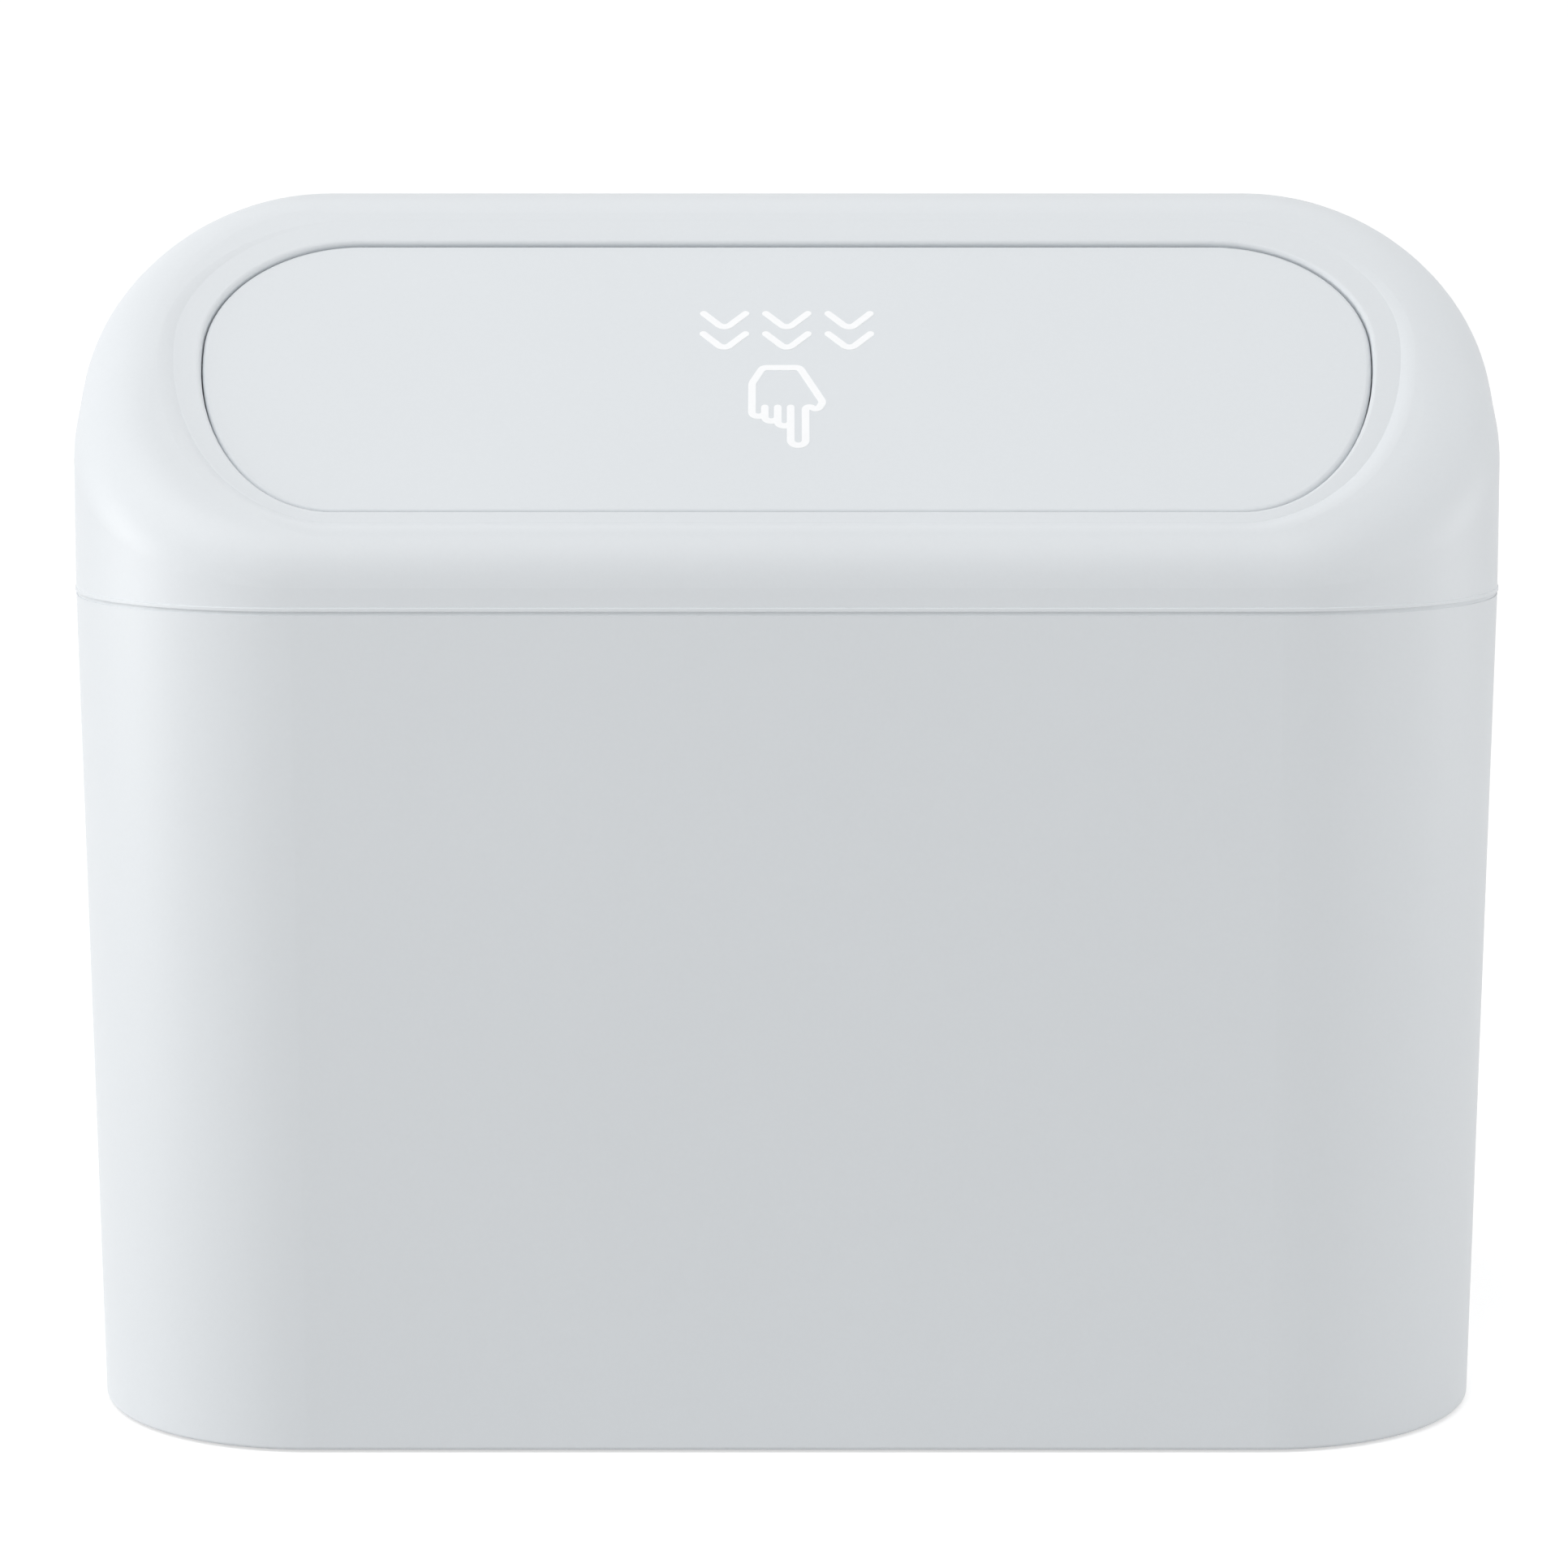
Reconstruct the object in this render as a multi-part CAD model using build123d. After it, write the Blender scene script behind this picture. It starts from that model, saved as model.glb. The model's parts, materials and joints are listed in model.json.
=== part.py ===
from build123d import *
from math import cos, hypot, pi, radians, sin, sqrt, tan
import os

# Car trash can with a sloped push flap, in millimetres.
# +Z is up, the front faces -Y, and the origin is the centre of the pad that it stands on.

# Outline that the bucket and the lid frame share
body_width = 210.0
body_depth = 77.0
end_flat = 6.0

# Bucket
bucket_height = 122.3
bucket_draft = 0.62
bucket_wall = 2.2
bucket_floor = 2.4
base_edge_round = 0.6
floor_round = 6.0
shadow_line_depth = 0.15
shadow_line_height = 0.5

# Anti-slip pad under the base
pad_inset_x = 30.0
pad_inset_y = 16.5
pad_end_flat = 2.0
pad_stand = 0.4
pad_sink = 0.6
pad_fit = 0.2

# Lid frame: the flap and the sunk ring round it lie at slope_angle, and the rim is rim_tilt less
# steep, so that it stands proud of the ring at the front and runs out into it at the back
slope_angle = 40.0
rim_tilt = 1.1
rim_round = 12.5
lid_draft = 0.6
front_flat = 3.19
back_land = 1.87
frame_wall = 2.2
seam_edge_round = 0.15
seam_bead = 0.15
seam_bead_height = 0.6
flange_height = 2.0
spigot_height = 8.0
spigot_wall = 1.6
spigot_fit = 0.4

# Sunk ring, from the flap's edge to the foot of the soft roll up to the rim
ring_side = 4.3
ring_side_land = 2.5
ring_front = 2.9
ring_back = 5.6
ring_roll = 4.0
ring_roll_end = 0.4
ring_roll_spare = 0.2
ring_wall = 2.0

# Mouth
side_gap = 0.15
back_gap = 0.15
swing_clearance = 0.15
mouth_edge_round = 0.6

# Flap, widest on the line of its pivots, which lies up the slope from its middle
flap_sink = 0.55
flap_rise = 6.5
flap_plate = 2.2
flap_edge_round = 0.8
skirt_inset_x = 9.5
skirt_inset_front = 3.4
skirt_inset_back = 5.0
skirt_corner = 12.0
skirt_wall = 1.6
skirt_depth = 10.0
swing_angle = 60.0

# Liner under the flap and its screws
liner_plate = 1.4
liner_fit = 0.15
liner_screw_inset_x = 26.0
liner_screw_inset_y = 10.0
small_screw_radius = 1.0
small_head_radius = 2.2
small_head_height = 1.3
small_screw_grip = 5.0
small_boss_radius = 2.6
screw_fit = 0.05
pilot_spare = 1.0

# Pivot pins, 5 mm below the flap's face
pivot_depth = 5.0
pin_radius = 1.5
pin_bearing_fit = 0.06
pin_seat_fit = 0.02
pin_boss_wall = 1.7
pin_seat_length = 12.0
pin_overhang = 1.0

# Pivot brackets
bracket_gap = 1.0
cheek_thickness = 4.0
cheek_half_length = 6.0
bracket_drop = 12.5
bracket_flange = 2.0
bracket_flange_reach = 7.1
bracket_half_length = 10.0
bracket_screw_reach = 3.9
bracket_screw_y = 6.5

# Return springs
spring_wire = 0.7
spring_radius = 2.2
spring_turns = 4
spring_pitch = 1.25
spring_setback = 2.4
spring_leg = 12.0
spring_hook = 7.0
spring_rest = 0.05
spring_tab = 1.8
tab_reach = 4.6
stop_radius = 8.0
stop_reach = 4.0
stop_thickness = 4.5
stop_clearance = 0.2

# Stop lip and pads under the flap's back edge
lip_end_inset = 4.0
lip_reach = 4.0
lip_web = 1.8
web_setback = 0.2
lip_thickness = 1.6
stop_pad_thickness = 0.8
stop_pad_width = 14.0
stop_pad_length = 2.6
stop_pad_end_inset = 20.0
stop_pad_inset = 0.65

# Bag ring
ring_fit = 0.35
bag_ring_wall = 2.6
bag_ring_height = 5.0
bag_ring_drop = 0.5
ring_grip_width = 22.0
ring_grip_reach = 4.0
rest_rib_width = 2.4
rest_rib_reach = 1.8
rest_rib_height = 12.0
rest_rib_inset = 49.0

# Hook rail on the back wall
rail_head_clearance = 1.0
rail_half_width = 20.0
rail_lip = 1.5
rail_base = 3.0
rail_top_stop = 6.0
rail_edge_round = 1.0
hook_stroke = 24.0
hook_fit = 0.2

# Hanging hook
hook_plate = 2.2
hook_half_width = 9.0
hook_wall_gap = 2.4
foot_half_width = 13.0
foot_height = 10.0
foot_thickness = 3.6
hook_stand = 32.0
hook_gap = 14.0
hook_leg = 18.0
hook_outer_round = 5.0
thumb_ridge = 1.1
thumb_ridge_pitch = 3.2
thumb_ridge_count = 3

# Rail screws, driven from inside the bucket
rail_screw_radius = 1.4
rail_screw_head_radius = 2.7
rail_screw_head_height = 1.5
rail_screw_grip = 4.0
rail_screw_inset = 3.3
rail_screw_hole = 0.2
rail_screw_end = 7.0
head_seat_gap = 0.08

# Bumpers low on the back wall, as proud as the rail
bumper_radius = 7.0
bumper_inset = 50.0
bumper_height = 20.0

# Spare length by which a cutting block runs past what it cuts
cut_spare = 1.0

# Derived outline and levels
corner_radius = (body_depth - end_flat) / 2
base = pad_stand
seam = base + bucket_height

# Rim: its plane starts at the lid's front corner and meets the ring's plane on the run-out line
tilt = radians(slope_angle)
rim_angle = radians(slope_angle - rim_tilt)
front_tangent = rim_round * tan((pi / 2 - rim_angle) / 2)
back_tangent = rim_round * tan((pi / 2 + rim_angle) / 2)
run_out = body_depth / cos(rim_angle) - back_tangent - back_land
run_out_y = run_out * cos(rim_angle) - body_depth / 2
run_out_z = seam + front_flat + front_tangent + run_out * sin(rim_angle)
peak = run_out_z + body_depth

# Flap, and its frame: X along the width, Y up the slope from the line of the pivots, Z out of the
# flap, zero at its face
flap_width = body_width - 2 * (rim_round + ring_side_land + ring_side)
flap_length = run_out - ring_back - front_tangent - ring_front
flap_front = flap_length / 2 + flap_rise
flap_back = flap_length / 2 - flap_rise
flap_end_run = flap_length / 2 * cos(tilt)
flap_line = ring_back + flap_back
mouth_y = run_out_y - flap_line * cos(tilt) + flap_sink * sin(tilt)
mouth_z = run_out_z - flap_line * sin(tilt) - flap_sink * cos(tilt)
flap_plane = Plane(origin=(0, mouth_y, mouth_z), x_dir=(1, 0, 0), z_dir=(0, -sin(tilt), cos(tilt)))
mouth = Location(flap_plane)
rim_frame = mouth * Pos(0, flap_line, flap_sink) * Rot(-rim_tilt, 0, 0)
skin_low = flap_sink - ring_wall
skirt_width = flap_width - 2 * skirt_inset_x
skirt_front = flap_front - skirt_inset_front
skirt_back = flap_back - skirt_inset_back
skirt_middle = (skirt_back - skirt_front) / 2


def block(x_span, y_span, z_span):
    spans = (x_span, y_span, z_span)
    middle = [(low + high) / 2 for low, high in spans]
    size = [high - low for low, high in spans]
    return Pos(*middle) * Box(*size)


def rod(radius, base_point, height):
    """Round bar that stands on base_point along +Z."""
    return Pos(*base_point) * Cylinder(radius, height, align=(Align.CENTER, Align.CENTER, Align.MIN))


def pivot_rod(radius, x_span):
    """Round bar along X on the flap's pivot axis, in the frame of the slope."""
    length = x_span[1] - x_span[0]
    return Pos(x_span[0], 0, -pivot_depth) * Rot(0, 90, 0) * rod(radius, (0, 0, 0), length)


def draft_inset(z):
    """How far the drafted bucket wall stands inside the seam's outline at level z."""
    return (seam - z) * tan(radians(bucket_draft))


def outline(inset):
    return RectangleRounded(body_width - 2 * inset, body_depth - 2 * inset, corner_radius - inset)


def straight(inset, low, high):
    return extrude(Pos(0, 0, low) * outline(inset), amount=high - low)


def drafted(inset, low, high):
    """Block with the bucket's draft, whose outline has this inset at the seam."""
    top_outline = Pos(0, 0, high) * outline(inset + draft_inset(high))
    return extrude(top_outline, amount=high - low, dir=(0, 0, -1), taper=bucket_draft)


def hoop(outer_inset, inner_inset, low, high):
    return straight(outer_inset, low, high) - straight(inner_inset, low, high)


def oval(margin, front_margin, back_margin):
    """The flap's outline, this much wider: each end is two quarters of ellipses, widest at Y zero."""
    run = flap_end_run + margin
    x = flap_width / 2 - flap_end_run
    front, back = flap_front + front_margin, flap_back + back_margin
    edges = [Line((-x, back), (x, back)), Line((-x, -front), (x, -front))]
    for side, start in ((1, 0), (-1, 90)):
        edges.append(EllipticalCenterArc((side * x, 0), run, back, start, arc_size=90))
        edges.append(EllipticalCenterArc((side * x, 0), run, front, 270 - start, arc_size=90))
    return make_face(edges)


def slab(shape, high, low):
    """Slab cut from a sketch in the slope's plane, between two depths along its normal."""
    return extrude(Pos(0, 0, low) * shape, amount=high - low)


def edges_at_level(solid, level, spare=0.01):
    """Edges that lie flat at one level of Z."""
    found = []
    for edge in solid.edges():
        if all(abs((edge @ t).Z - level) < spare for t in (0, 0.5, 1)):
            found.append(edge)
    return found


def edges_in_frame(solid, frame, low=-0.01, high=0.01):
    """Edges between two levels of a frame."""
    plane = Plane(frame)
    found = []
    for edge in solid.edges():
        if all(low < plane.to_local_coords(edge @ t).Z < high for t in (0, 0.25, 0.5, 0.75, 1)):
            found.append(edge)
    return found


def over_outline(edges, frame, shape, spare=0.02):
    """Those edges that lie over a sketch's outline in this frame."""
    plane = Plane(frame)
    wire = shape.wire()
    found = []
    for edge in edges:
        points = [plane.to_local_coords(edge @ t) for t in (0, 0.25, 0.5, 0.75, 1)]
        if all(wire.distance_to(Vector(p.X, p.Y, 0)) < spare for p in points):
            found.append(edge)
    return found


def topped_body(inset, top_frame, low):
    """Upright block, this far inside the outline, under a sloped top with a soft rim."""
    above = top_frame * block((-body_width, body_width), (-body_width, body_width), (0, body_width))
    low_outline = Pos(0, 0, low) * outline(inset + (low - seam) * tan(radians(lid_draft)))
    body = extrude(low_outline, amount=peak - low, taper=lid_draft) - above
    return fillet(edges_in_frame(body, top_frame), rim_round - inset)


def both_sides(shape):
    return [shape, mirror(shape, about=Plane.YZ)]


# Bucket
def rest_ribs(low, high):
    """Short upright ribs inside the mouth that the bag ring sits on."""
    ribs = []
    depth_span = (-body_depth, body_depth)
    rest_rib_x = body_width / 2 - rest_rib_inset
    for x in (-rest_rib_x, 0, rest_rib_x):
        ribs.append(block((x - rest_rib_width / 2, x + rest_rib_width / 2), depth_span, (low, high)))
    ribs.append(block((-body_width, body_width), (-rest_rib_width / 2, rest_rib_width / 2), (low, high)))
    band = drafted(bucket_wall / 2, low, high) - drafted(bucket_wall + rest_rib_reach, low, high)
    return [rib & band for rib in ribs]


def rail_screw_points():
    x = rail_half_width - rail_screw_inset
    levels = (rail_low + rail_screw_end, rail_high - rail_screw_end)
    return [(side * x, z) for side in (-1, 1) for z in levels]


def wall_face(z):
    """Y of the bucket's outer back wall at level z."""
    return body_depth / 2 - draft_inset(z)


def along_depth(radius, x, z, y_low, y_high):
    """Round bar along Y."""
    return Pos(x, y_low, z) * Rot(-90, 0, 0) * rod(radius, (0, 0, 0), y_high - y_low)


bag_ring_top = seam - spigot_height - bag_ring_drop
bag_ring_low = bag_ring_top - bag_ring_height


def pad_outline(spare):
    width = body_width - 2 * pad_inset_x
    depth = body_depth - 2 * pad_inset_y
    corner = (depth - pad_end_flat) / 2
    return RectangleRounded(width + 2 * spare, depth + 2 * spare, corner + spare)


def make_bucket():
    outer = drafted(0, base, seam)
    outer = fillet(edges_at_level(outer, base), base_edge_round)
    floor_level = base + bucket_floor
    cavity = drafted(bucket_wall, floor_level, seam)
    cavity = fillet(edges_at_level(cavity, floor_level), floor_round)
    bucket = outer - cavity
    bucket -= hoop(-cut_spare, shadow_line_depth, seam - shadow_line_height, seam)
    for rib in rest_ribs(bag_ring_low - rest_rib_height, bag_ring_low):
        bucket += rib
    bucket -= extrude(Pos(0, 0, base) * pad_outline(pad_fit), amount=pad_sink)
    for x, z in rail_screw_points():
        radius = rail_screw_radius + rail_screw_hole
        bucket -= along_depth(radius, x, z, wall_face(z) - 2 * bucket_wall, wall_face(z) + cut_spare)
    return bucket


def make_base_pad():
    return extrude(pad_outline(0), amount=pad_stand + pad_sink)


def make_bag_ring():
    low, top = bag_ring_low, bag_ring_top
    outer_inset = bucket_wall + draft_inset(low) + ring_fit
    inner_inset = outer_inset + bag_ring_wall
    ring = hoop(outer_inset, inner_inset, low, top)
    grips = hoop(outer_inset, inner_inset + ring_grip_reach, low, top)
    half = ring_grip_width / 2
    ring += grips & block((-half, half), (-body_depth, body_depth), (low, top))
    return ring


# Lid frame
swing_reach = sqrt(flap_front**2 + pivot_depth**2 - (pivot_depth + skin_low) ** 2)
front_gap = swing_reach - flap_front + swing_clearance
cheek_x = flap_width / 2 + side_gap + bracket_gap
flange_x = cheek_x + cheek_thickness
bracket_screw_x = flange_x + bracket_screw_reach
lip_half_width = flap_width / 2 - flap_end_run - lip_end_inset


def mouth_outline():
    """The flap's outline with its gaps, of which the front one has to clear the swing."""
    return oval(side_gap, front_gap, back_gap)


def rim_height(y):
    """How far the rim's plane stands over the ring's, this far up the flap's frame."""
    return (flap_line - y) * tan(radians(rim_tilt))


def roll_foot(height):
    """How far the foot of the soft roll stands outside its recess, where the rim is this high."""
    return ring_roll - sqrt(ring_roll**2 - (ring_roll - height) ** 2)


def crest_foot(height):
    """The same at the front, where the roll runs into the outer round that starts over its foot."""
    centre_depth = (rim_round * ring_roll - height**2 / 2) / (rim_round - height)
    return ring_roll - sqrt(ring_roll**2 - (centre_depth - height) ** 2)


def sink_ring(body):
    """Sinks the ring into the rim, with a soft roll down to it from the rim's plane and outer round."""
    side = ring_side - roll_foot(rim_height(0))
    front = ring_front - crest_foot(rim_height(-flap_front - ring_front))
    back = ring_back - ring_roll - ring_roll_end
    recess = oval(side, front, back)
    deep = 2 * ring_roll
    body -= mouth * slab(recess, deep, -deep)
    brim = over_outline(edges_in_frame(body, mouth, -ring_roll, ring_roll), mouth, recess)
    body = fillet(brim, ring_roll)
    reach = ring_roll - ring_roll_spare
    floor = oval(side + reach, front + reach, back + reach)
    return body + mouth * slab(floor, flap_sink, -deep - cut_spare)


def stop_lip():
    """Lip under the back edge of the mouth, hung from the skin by a web."""
    web_y = flap_back + back_gap + web_setback
    top = -(flap_plate + stop_pad_thickness)
    low = top - lip_thickness
    lip = block((-lip_half_width, lip_half_width), (flap_back - lip_reach, web_y + lip_web), (low, top))
    web = block((-lip_half_width, lip_half_width), (web_y, web_y + lip_web), (low, skin_low / 2))
    return lip + web


def seam_ring():
    """Lowest band of the lid's wall, with a thin bead on it that stands proud over the seam."""
    high = seam + seam_bead_height
    bead = straight(-seam_bead, seam, high)
    bead = fillet(edges_at_level(bead, high), seam_bead)
    bead = fillet(edges_at_level(bead, seam), seam_edge_round)
    return bead - straight(frame_wall / 2, seam, high)


def make_lid_frame():
    outer = sink_ring(topped_body(0, rim_frame, seam + seam_bead_height / 2))
    frame = outer - topped_body(frame_wall, mouth * Pos(0, 0, skin_low), seam)
    frame += seam_ring()
    spigot_outer = bucket_wall + spigot_fit
    spigot_inner = spigot_outer + spigot_wall
    frame += hoop(frame_wall / 2, spigot_inner, seam, seam + flange_height)
    frame += hoop(spigot_outer, spigot_inner, seam - spigot_height, seam + flange_height / 2)
    additions = mouth * stop_lip()
    boss_low = -(bracket_drop - bracket_flange)
    for x, y in bracket_screw_points():
        additions += mouth * rod(small_boss_radius, (x, y, boss_low), -boss_low)
    frame += additions & outer
    frame -= mouth * slab(mouth_outline(), flap_sink + cut_spare, skin_low - web_setback)
    ring_frame = mouth * Pos(0, 0, flap_sink)
    mouth_edges = over_outline(edges_in_frame(frame, ring_frame), ring_frame, mouth_outline())
    frame = fillet(mouth_edges, mouth_edge_round)
    hole_height = small_screw_grip + pilot_spare - bracket_flange
    for x, y in bracket_screw_points():
        frame -= mouth * rod(small_screw_radius + screw_fit, (x, y, boss_low), hole_height)
    return frame


# Flap and what rides on it
def skirt_outline(inset):
    shape = RectangleRounded(
        skirt_width - 2 * inset, skirt_front + skirt_back - 2 * inset, skirt_corner - inset
    )
    return Pos(0, skirt_middle) * shape


def liner_screw_points():
    x = skirt_width / 2 - liner_screw_inset_x
    y = skirt_back - skirt_middle - liner_screw_inset_y
    return [(side * x, skirt_middle + end * y) for side in (-1, 1) for end in (-1, 1)]


def make_flap():
    plate = slab(oval(0, 0, 0), 0, -flap_plate)
    plate = fillet(edges_at_level(plate, 0), flap_edge_round)
    inner = skirt_outline(skirt_wall)
    skirt = slab(skirt_outline(0), -flap_plate / 2, -skirt_depth) - slab(inner, 0, -skirt_depth)
    flap = plate + skirt
    low = -(skirt_depth - liner_plate)
    for x, y in liner_screw_points():
        flap += rod(small_boss_radius, (x, y, low), -low - flap_plate / 2)
        flap -= rod(small_screw_radius + screw_fit, (x, y, low), small_screw_grip + pilot_spare - liner_plate)
    end = skirt_width / 2
    boss_radius = pin_radius + pin_boss_wall
    boss = pivot_rod(boss_radius, (end - pin_seat_length, end)) & slab(skirt_outline(0), 0, -skirt_depth)
    bore = pivot_rod(pin_radius + pin_seat_fit, (end - pin_seat_length - cut_spare, end + cut_spare))
    for solid in both_sides(boss):
        flap += solid
    for solid in both_sides(bore):
        flap -= solid
    return mouth * flap


def make_flap_liner():
    low = -skirt_depth
    liner = slab(skirt_outline(skirt_wall + liner_fit), low + liner_plate, low)
    for x, y in liner_screw_points():
        hole_height = liner_plate + 2 * cut_spare
        liner -= rod(small_screw_radius + screw_fit, (x, y, low - cut_spare), hole_height)
    return mouth * liner


def small_screw(x, y, seat):
    """Screw driven upwards, with its head's flat at the seat level."""
    shank = rod(small_screw_radius, (x, y, seat), small_screw_grip)
    head = rod(small_head_radius, (x, y, seat - small_head_height), small_head_height)
    slot = block(
        (x - small_head_radius, x + small_head_radius),
        (y - small_head_radius / 6, y + small_head_radius / 6),
        (seat - small_head_height, seat - small_head_height / 2),
    )
    return shank + head - slot


def make_liner_screws():
    return [mouth * small_screw(x, y, -skirt_depth) for x, y in liner_screw_points()]


def make_pivot_pin():
    start = skirt_width / 2 - pin_seat_length
    end = flange_x + pin_overhang
    pin = pivot_rod(pin_radius, (start, end))
    tips = [e for e in pin.edges() if e.geom_type == GeomType.CIRCLE]
    return mouth * chamfer(tips, pin_radius / 6)


# Pivot bracket, spring and stop, for the right-hand end
def make_pivot_bracket():
    low = -bracket_drop
    cheek = block((cheek_x, flange_x), (-cheek_half_length, cheek_half_length), (low, skin_low))
    flange = block(
        (cheek_x, flange_x + bracket_flange_reach),
        (-bracket_half_length, bracket_half_length),
        (low, low + bracket_flange),
    )
    tab_y = spring_radius + spring_wire / 2 + spring_rest
    tab_top = -pivot_depth - pin_radius
    tab = block((cheek_x - tab_reach, flange_x), (tab_y, tab_y + spring_tab), (low, tab_top))
    swing = radians(swing_angle)
    face = pivot_depth - flap_plate - stop_clearance
    stop_y = -stop_radius * cos(swing) - face * sin(swing)
    stop_z = -pivot_depth - stop_radius * sin(swing) + face * cos(swing)
    stop = block((cheek_x - stop_reach, flange_x), (stop_y, stop_y + stop_thickness), (low, stop_z))
    bracket = cheek + flange + tab + stop
    bracket -= pivot_rod(pin_radius + pin_bearing_fit, (cheek_x - cut_spare, flange_x + cut_spare))
    for y in (-bracket_screw_y, bracket_screw_y):
        foot = (bracket_screw_x, y, low - cut_spare)
        bracket -= rod(small_screw_radius + screw_fit, foot, bracket_flange + 2 * cut_spare)
    return mouth * bracket


def bracket_screw_points():
    x = bracket_screw_x
    return [(side * x, y) for side in (-1, 1) for y in (-bracket_screw_y, bracket_screw_y)]


def make_bracket_screws():
    return [mouth * small_screw(x, y, -bracket_drop) for x, y in bracket_screw_points()]


def biarc(start, start_tangent, end, end_tangent):
    """Two arcs that join two points and keep both tangents."""
    chord = end - start
    along = chord.dot(start_tangent + end_tangent)
    turn = 1 - start_tangent.dot(end_tangent)
    reach = (sqrt(along**2 + 2 * turn * chord.dot(chord)) - along) / (2 * turn)
    middle = (start + end + (start_tangent - end_tangent) * reach) * 0.5
    ray = (middle - start).normalized()
    middle_tangent = ray * (2 * ray.dot(start_tangent)) - start_tangent
    return [
        TangentArc(start, middle, tangent=start_tangent),
        TangentArc(middle, end, tangent=middle_tangent),
    ]


def make_return_spring():
    """Torsion spring round the pin: one leg under the flap's front, one against the bracket's tab."""
    quarters = 4 * spring_turns + 1
    step = spring_pitch / 4
    first_x = cheek_x - spring_setback - quarters * step
    lead = step / hypot(step, spring_radius * pi / 2)
    points = []
    tangents = []
    for index in range(quarters + 1):
        angle = pi / 2 - index * pi / 2
        x = first_x + index * step
        points.append(Vector(x, spring_radius * cos(angle), spring_radius * sin(angle) - pivot_depth))
        around = Vector(0, sin(angle), -cos(angle))
        at_end = index in (0, quarters)
        tangents.append(around if at_end else (around + Vector(lead, 0, 0)).normalized())
    leg_tip = points[0] - tangents[0] * spring_leg
    hook_tip = points[-1] + tangents[-1] * spring_hook
    edges = [Line(leg_tip, points[0])]
    for index in range(quarters):
        edges += biarc(points[index], tangents[index], points[index + 1], tangents[index + 1])
    edges.append(Line(points[-1], hook_tip))
    path = Wire(edges)
    spring = sweep(Plane(origin=leg_tip, z_dir=tangents[0]) * Circle(spring_wire / 2), path=path)
    ideal = path.length * pi * spring_wire**2 / 4
    print(f"return spring: volume {spring.volume:.3f} against {ideal:.3f}, gap {coil_gap(path):.3f}")
    return mouth * spring


def coil_gap(path, samples=400):
    """Least gap from the wire to itself, measured on points more than half a turn apart."""
    points = [path @ (index / samples) for index in range(samples + 1)]
    skip = int(samples * spring_radius * pi / path.length)
    nearest = min(
        (points[i] - points[j]).length for i in range(samples + 1) for j in range(i + skip, samples + 1)
    )
    return nearest - spring_wire


def make_stop_pads():
    low = -(flap_plate + stop_pad_thickness)
    back = flap_back - stop_pad_inset
    pad_x = lip_half_width - stop_pad_end_inset
    pads = []
    for x in (-pad_x, pad_x):
        span = (x - stop_pad_width / 2, x + stop_pad_width / 2)
        pads.append(mouth * block(span, (back - stop_pad_length, back), (low, -flap_plate)))
    return pads


# Rail, hook and bumpers on the back wall
rail_high = bag_ring_low - rail_head_clearance - rail_screw_head_radius + rail_screw_end
rail_height = rail_base + hook_fit + foot_height + hook_stroke + rail_top_stop
rail_low = rail_high - rail_height
hook_front = body_depth / 2 + hook_wall_gap
hook_back = hook_front + hook_plate
rail_inner = hook_back + hook_fit
rail_face = rail_inner + rail_lip
hook_low = rail_low + rail_base + hook_fit


def bucket_blank():
    """The bucket's outer shape, used to seat what is fixed to its wall."""
    return drafted(0, base, seam)


def make_hook_rail():
    rail = block((-rail_half_width, rail_half_width), (0, rail_face), (rail_low, rail_high))
    outer_edges = [e for e in rail.edges() if (e @ 0.5).Y > rail_face - 0.01]
    rail = fillet(outer_edges, rail_edge_round)
    foot = foot_half_width + hook_fit
    tongue = hook_half_width + hook_fit
    stop_level = rail_high - rail_top_stop
    rail -= block((-foot, foot), (0, rail_inner), (rail_low + rail_base, stop_level))
    rail -= block((-tongue, tongue), (0, rail_inner), (stop_level - cut_spare, rail_high + cut_spare))
    rail -= block((-tongue, tongue), (0, rail_face + cut_spare), (rail_low + rail_base, stop_level))
    for x, z in rail_screw_points():
        tip = wall_face(z) + rail_screw_grip + pilot_spare
        rail -= along_depth(rail_screw_radius + screw_fit, x, z, 0, tip)
    return rail - bucket_blank()


def make_hanging_hook():
    top = rail_high + hook_stand
    far = hook_back + hook_gap + hook_plate
    span = (-hook_half_width, hook_half_width)
    tongue = block(span, (hook_front, hook_back), (hook_low, top))
    bar = block(span, (hook_front, far), (top - hook_plate, top))
    leg = block(span, (far - hook_plate, far), (top - hook_leg, top))
    hook = tongue + bar + leg
    bends = [e for e in hook.edges() if abs((e @ 0.5).X) < 0.01 and (e @ 0.5).Z > top - 0.01]
    outer = [e for e in bends if min(abs((e @ 0.5).Y - hook_front), abs((e @ 0.5).Y - far)) < 0.01]
    hook = fillet(outer, hook_outer_round)
    inner = [
        e
        for e in hook.edges()
        if abs((e @ 0.5).X) < 0.01
        and abs((e @ 0.5).Z - (top - hook_plate)) < 0.01
        and min(abs((e @ 0.5).Y - hook_back), abs((e @ 0.5).Y - (far - hook_plate))) < 0.01
    ]
    hook = fillet(inner, hook_outer_round - hook_plate)
    foot_span = (-foot_half_width, foot_half_width)
    hook += block(foot_span, (hook_back - foot_thickness, hook_back), (hook_low, hook_low + foot_height))
    ridges_height = (thumb_ridge_count - 1) * thumb_ridge_pitch + thumb_ridge
    for index in range(thumb_ridge_count):
        z = hook_low + (foot_height - ridges_height) / 2 + index * thumb_ridge_pitch
        ridge_half = hook_half_width - 2 * hook_fit
        depth_span = (hook_back - hook_plate / 2, hook_back + thumb_ridge)
        hook += block((-ridge_half, ridge_half), depth_span, (z, z + thumb_ridge))
    return hook


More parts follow.
